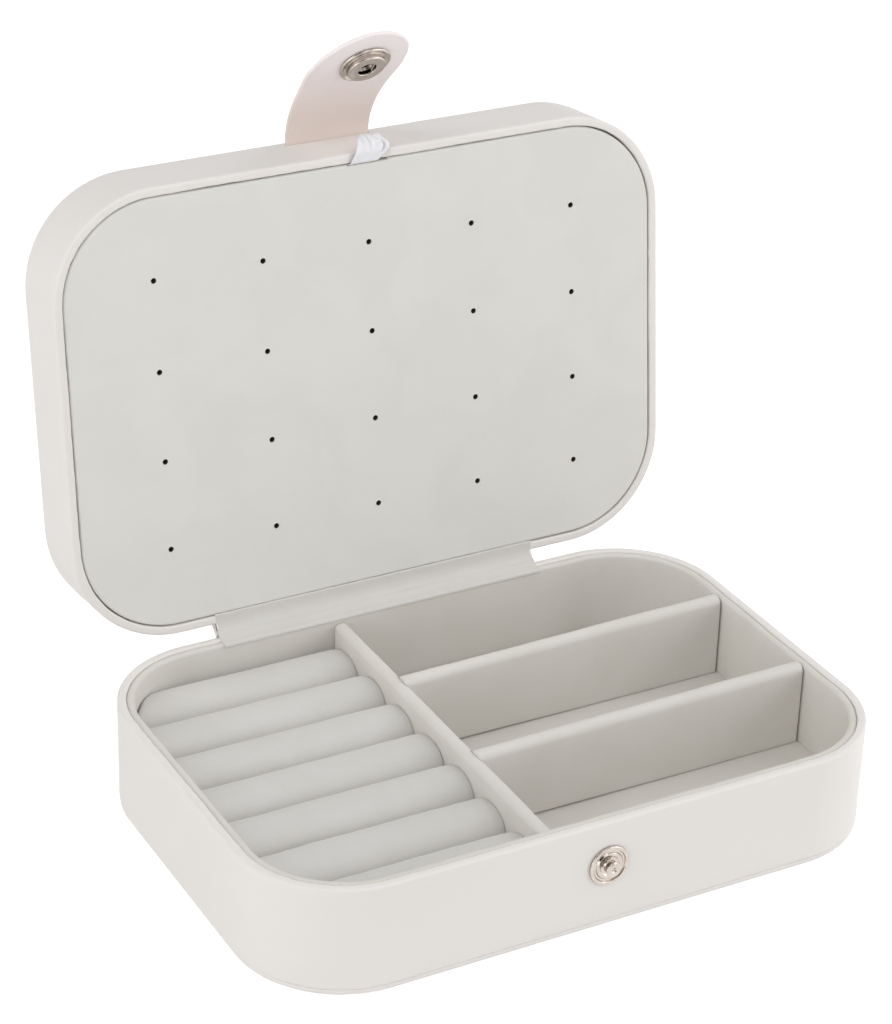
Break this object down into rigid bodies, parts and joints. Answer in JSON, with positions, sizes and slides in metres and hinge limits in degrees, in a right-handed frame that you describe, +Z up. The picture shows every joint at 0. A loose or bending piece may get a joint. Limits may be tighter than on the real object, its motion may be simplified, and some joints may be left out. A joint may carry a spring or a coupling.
{
  "type": "jewelry box",
  "caption": "Rounded travel jewelry box with a hinged lid, snap strap, ring rolls, divided compartments and an earring board.",
  "frame": {"origin": "centre of the base's flat underside", "axes": "+X along the box's length, -Y towards the front with the press stud, +Z up, the lid standing open at rest"},
  "size_m": [0.165, 0.1503, 0.1773],
  "materials": {
    "leather": "matt fine-grained off-white",
    "velvet": "short-pile pale grey velvet",
    "roll_velvet": "short-pile pale grey velvet over foam",
    "ribbon": "white satin",
    "snap_metal": "polished nickel"
  },
  "bodies": {
    "base": {"base_bottom_panel": "leather", "base_frame": "leather", "base_floor": "velvet", "base_liner": "velvet", "main_divider": "velvet", "front_divider": "velvet", "rear_divider": "velvet", "ring_roll_1": "roll_velvet", "ring_roll_2": "roll_velvet", "ring_roll_3": "roll_velvet", "ring_roll_4": "roll_velvet", "ring_roll_5": "roll_velvet", "ring_roll_6": "roll_velvet", "ring_roll_7": "roll_velvet", "snap_stud": "snap_metal", "stud_rivet": "snap_metal", "hinge_lining": "velvet", "hinge_spine": "leather"},
    "lid": {"lid_frame": "leather", "lid_top_panel": "leather", "lid_lining": "velvet", "lid_ledge": "velvet", "earring_panel": "velvet", "panel_ribbon": "ribbon", "strap_tail": "leather"},
    "strap": {"strap": "leather", "snap_cap": "snap_metal", "snap_socket": "snap_metal", "snap_spring": "snap_metal"}
  },
  "joints": [
    {"name": "lid_hinge", "type": "hinge", "parent": "base", "child": "lid", "pos_m": [0, 0.0586, 0.0296], "axis": [1, 0, 0], "range_deg": [0, 96.6], "deforming": ["hinge_lining", "hinge_spine"]},
    {"name": "strap_bend", "type": "hinge", "parent": "lid", "child": "strap", "pos_m": [0, 0.08709, 0.14438], "axis": [1, 0, 0], "range_deg": [-35, 45.6], "stiffness_Nm_per_rad": 0.02}
  ]
}
